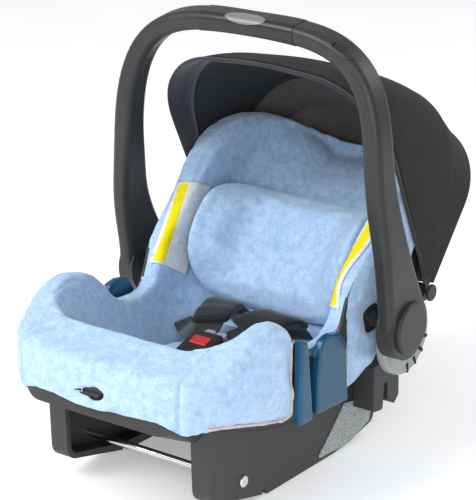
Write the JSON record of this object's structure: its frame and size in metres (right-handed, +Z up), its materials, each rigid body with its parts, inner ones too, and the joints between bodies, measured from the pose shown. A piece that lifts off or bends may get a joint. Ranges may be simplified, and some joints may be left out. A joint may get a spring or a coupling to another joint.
{
  "type": "infant car seat",
  "caption": "Rear-facing infant car seat: bucket shell on rockers with a swinging carry handle, folding canopy, padded terry cover, sliding headrest and buckled harness.",
  "frame": {"origin": "on the floor under the middle of the seat's box, between the rockers' flats", "axes": "+Z up, the feet end at -Y, the head end at +Y, +X to the right as seen from the feet end"},
  "size_m": [0.4344, 0.6607, 0.5534],
  "materials": {
    "shell_plastic": "fine-grained dark grey moulding",
    "handle_plastic": "satin dark warm grey moulding",
    "grip_plastic": "satin dark grey moulding",
    "grey_plastic": "light grey moulding",
    "guide_blue": "glossy steel blue moulding",
    "foam": "expanded foam",
    "cover_terry": "light blue terry cloth",
    "canopy_fabric": "black woven canopy fabric",
    "webbing": "black woven webbing",
    "pad_fabric": "black padded fabric",
    "buckle_black": "black satin moulding",
    "buckle_red": "red gloss moulding",
    "tongue_grey": "grey moulding and steel",
    "steel": "bright plated steel",
    "label": "white woven label with a yellow band, blank"
  },
  "bodies": {
    "seat": {"seat_shell": "shell_plastic", "foam_liner": "foam", "seat_cover": "cover_terry", "front_latch_bar": "steel", "rear_latch_bar": "steel", "latch_bar_screws": "steel", "canopy_rear_panel": "canopy_fabric", "seat_insert": "cover_terry", "buckle_body": "buckle_black", "crotch_strap": "webbing", "splitter_plate": "steel", "adjuster_housing": "buckle_black", "adjuster_pin": "steel", "adjuster_strap": "webbing", "rocker_rail_left": "shell_plastic", "belt_guide_left": "guide_blue", "rear_belt_hook_left": "shell_plastic", "side_patch_left": "grey_plastic", "adapter_ring_left": "grey_plastic", "pivot_bolt_left": "steel", "canopy_knob_left": "shell_plastic", "canopy_boss_left": "shell_plastic", "side_label_left": "label", "shoulder_strap_left": "webbing", "shoulder_pad_left": "pad_fabric", "lap_strap_left": "webbing", "buckle_tongue_left": "tongue_grey", "rocker_rail_right": "shell_plastic", "belt_guide_right": "guide_blue", "rear_belt_hook_right": "shell_plastic", "side_patch_right": "grey_plastic", "adapter_ring_right": "grey_plastic", "pivot_bolt_right": "steel", "canopy_knob_right": "shell_plastic", "canopy_boss_right": "shell_plastic", "side_label_right": "label", "shoulder_strap_right": "webbing", "shoulder_pad_right": "pad_fabric", "lap_strap_right": "webbing", "buckle_tongue_right": "tongue_grey"},
    "handle": {"handle_front_shell": "handle_plastic", "handle_rear_shell": "handle_plastic", "grip_sleeve": "grip_plastic", "grip_inlay": "grey_plastic", "button_bezel": "grey_plastic", "release_cable": "steel", "hub_cap_left": "handle_plastic", "hub_cap_right": "handle_plastic"},
    "handle_button": {"handle_button": "grip_plastic"},
    "plunger_left": {"lock_plunger_left": "steel"},
    "plunger_right": {"lock_plunger_right": "steel"},
    "canopy_rib": {"canopy_rib": "handle_plastic"},
    "canopy_hoop": {"canopy_hoop": "handle_plastic", "canopy_front_panel": "canopy_fabric"},
    "headrest": {"headrest_pad": "cover_terry", "headrest_plate": "shell_plastic"},
    "buckle_button": {"buckle_button": "buckle_red"},
    "adjuster_lever": {"adjuster_lever": "buckle_black"}
  },
  "joints": [
    {"name": "handle_swing", "type": "hinge", "parent": "seat", "child": "handle", "pos_m": [0, 0.0265, 0.1845], "axis": [-1, 0, 0], "range_deg": [0, 120]},
    {"name": "handle_button_press", "type": "slide", "parent": "handle", "child": "handle_button", "axis": [-0.3444, 0.762, -0.5484], "range_m": [0, 0.004], "stiffness_N_per_m": 400, "springref_m": -0.004},
    {"name": "plunger_left_slide", "type": "slide", "parent": "handle", "child": "plunger_left", "axis": [-1, 0, 0], "range_m": [0, 0.004]},
    {"name": "plunger_right_slide", "type": "slide", "parent": "handle", "child": "plunger_right", "axis": [1, 0, 0], "range_m": [0, 0.004]},
    {"name": "canopy_rib_fold", "type": "hinge", "parent": "seat", "child": "canopy_rib", "pos_m": [0, 0.145, 0.187], "axis": [-1, 0, 0], "range_deg": [0, 26], "deforming": ["canopy_rear_panel"]},
    {"name": "canopy_fold", "type": "hinge", "parent": "canopy_rib", "child": "canopy_hoop", "pos_m": [0, 0.145, 0.187], "axis": [-1, 0, 0], "range_deg": [0, 26], "deforming": ["canopy_front_panel"]},
    {"name": "headrest_height", "type": "slide", "parent": "seat", "child": "headrest", "axis": [0, 0.6428, 0.766], "range_m": [0, 0.07]},
    {"name": "buckle_release", "type": "slide", "parent": "seat", "child": "buckle_button", "axis": [0, 0.309, -0.9511], "range_m": [0, 0.004], "stiffness_N_per_m": 400, "springref_m": -0.004},
    {"name": "adjuster_press", "type": "hinge", "parent": "seat", "child": "adjuster_lever", "pos_m": [0, -0.283, 0.1735], "axis": [-1, 0, 0], "range_deg": [0, 8], "stiffness_Nm_per_rad": 0.3, "springref_deg": -28.65}
  ],
  "couplings": [
    {"joint": "plunger_left_slide", "follows": "handle_button_press", "ratio": 1},
    {"joint": "plunger_right_slide", "follows": "handle_button_press", "ratio": 1},
    {"joint": "canopy_rib_fold", "follows": "canopy_fold", "ratio": 1}
  ]
}
